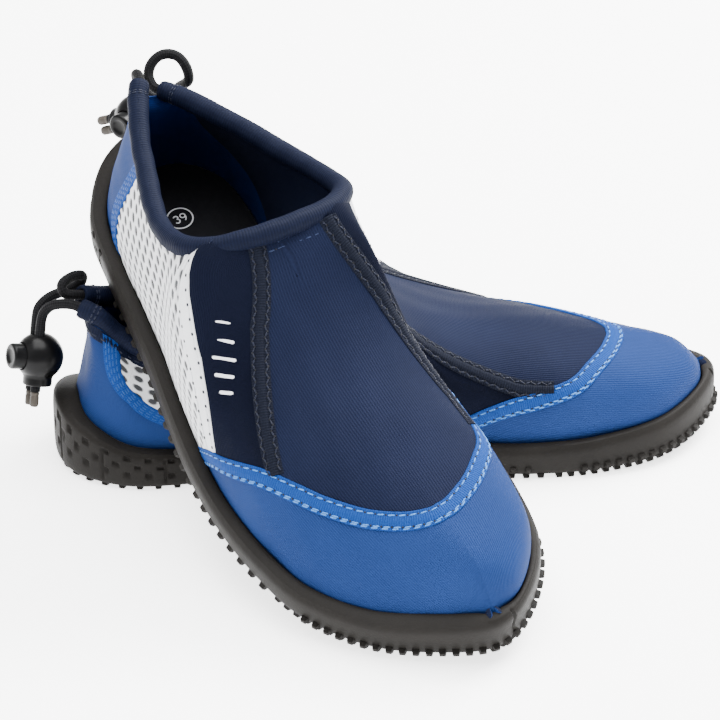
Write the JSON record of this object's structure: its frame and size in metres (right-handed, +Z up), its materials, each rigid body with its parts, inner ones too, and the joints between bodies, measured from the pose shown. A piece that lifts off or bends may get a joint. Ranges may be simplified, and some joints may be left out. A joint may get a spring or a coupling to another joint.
{
  "type": "pair of neoprene water shoes",
  "caption": "Pair of low-cut neoprene water shoes with rubber cup soles, mesh side panels, a rolled collar and an elastic heel drawcord with a ball cord lock.",
  "frame": {"origin": "on the floor, under the middle of the bounding box of the two shoes without their cords and locks", "axes": "+Z up, +X from the left shoe's heel towards its toe side, +Y away from the viewer, towards the back of the pair; the left shoe is turned 8.6 degrees about +Z"},
  "size_m": [0.2756, 0.2282, 0.1526],
  "materials": {
    "sole_rubber": "matt textured",
    "board": "matt, hidden",
    "insole_foam": "fine woven top",
    "blue_neoprene": "knit-faced neoprene, soft sheen",
    "white_mesh": "open spacer mesh",
    "navy_neoprene": "ribbed knit-faced neoprene, soft sheen",
    "blue_tape": "ribbed woven tape, double stitched",
    "navy_tape": "ribbed woven tape, double stitched",
    "navy_binding": "stretch binding, fine ribs",
    "black_cord": "braided elastic",
    "lock_plastic": "smooth moulded",
    "spring_steel": "bright wire",
    "cord_tip": "translucent grey-brown tube"
  },
  "bodies": {
    "left_shoe": {"left_outsole": "sole_rubber", "left_insole_board": "board", "left_insole": "insole_foam", "left_heel_panel": "blue_neoprene", "left_lateral_mesh": "white_mesh", "left_medial_mesh": "white_mesh", "left_lateral_panel": "navy_neoprene", "left_medial_panel": "navy_neoprene", "left_vamp": "navy_neoprene", "left_toe_cap": "blue_neoprene", "left_toe_tape": "blue_tape", "left_lateral_strip": "navy_tape", "left_medial_strip": "navy_tape", "left_heel_tape_lateral": "blue_tape", "left_heel_tape_medial": "blue_tape", "left_collar_binding": "navy_binding", "left_drawcord": "black_cord", "left_cord_tip_a": "cord_tip", "left_cord_tip_b": "cord_tip"},
    "left_lock": {"left_lock_body": "lock_plastic", "left_lock_spring": "spring_steel"},
    "left_button": {"left_lock_button": "lock_plastic"},
    "right_shoe": {"right_outsole": "sole_rubber", "right_insole_board": "board", "right_insole": "insole_foam", "right_heel_panel": "blue_neoprene", "right_lateral_mesh": "white_mesh", "right_medial_mesh": "white_mesh", "right_lateral_panel": "navy_neoprene", "right_medial_panel": "navy_neoprene", "right_vamp": "navy_neoprene", "right_toe_cap": "blue_neoprene", "right_toe_tape": "blue_tape", "right_lateral_strip": "navy_tape", "right_medial_strip": "navy_tape", "right_heel_tape_lateral": "blue_tape", "right_heel_tape_medial": "blue_tape", "right_collar_binding": "navy_binding", "right_drawcord": "black_cord", "right_cord_tip_a": "cord_tip", "right_cord_tip_b": "cord_tip"},
    "right_lock": {"right_lock_body": "lock_plastic", "right_lock_spring": "spring_steel"},
    "right_button": {"right_lock_button": "lock_plastic"}
  },
  "joints": [
    {"name": "right_shoe_lift", "type": "slide", "parent": "left_shoe", "child": "right_shoe", "axis": [0, 0, 1], "range_m": [0, 0.2]},
    {"name": "left_lock_slide", "type": "slide", "parent": "left_shoe", "child": "left_lock", "axis": [0.1001, 0.3504, 0.9312], "range_m": [0, 0.004]},
    {"name": "left_lock_press", "type": "slide", "parent": "left_lock", "child": "left_button", "axis": [0.8491, 0.4579, -0.2636], "range_m": [0, 0.003], "stiffness_N_per_m": 400, "springref_m": -0.003, "deforming": ["left_lock_spring"]},
    {"name": "right_lock_slide", "type": "slide", "parent": "right_shoe", "child": "right_lock", "axis": [0.7578, -0.5085, 0.4088], "range_m": [0, 0.004]},
    {"name": "right_lock_press", "type": "slide", "parent": "right_lock", "child": "right_button", "axis": [0.5666, 0.8236, -0.0258], "range_m": [0, 0.003], "stiffness_N_per_m": 400, "springref_m": -0.003, "deforming": ["right_lock_spring"]}
  ]
}
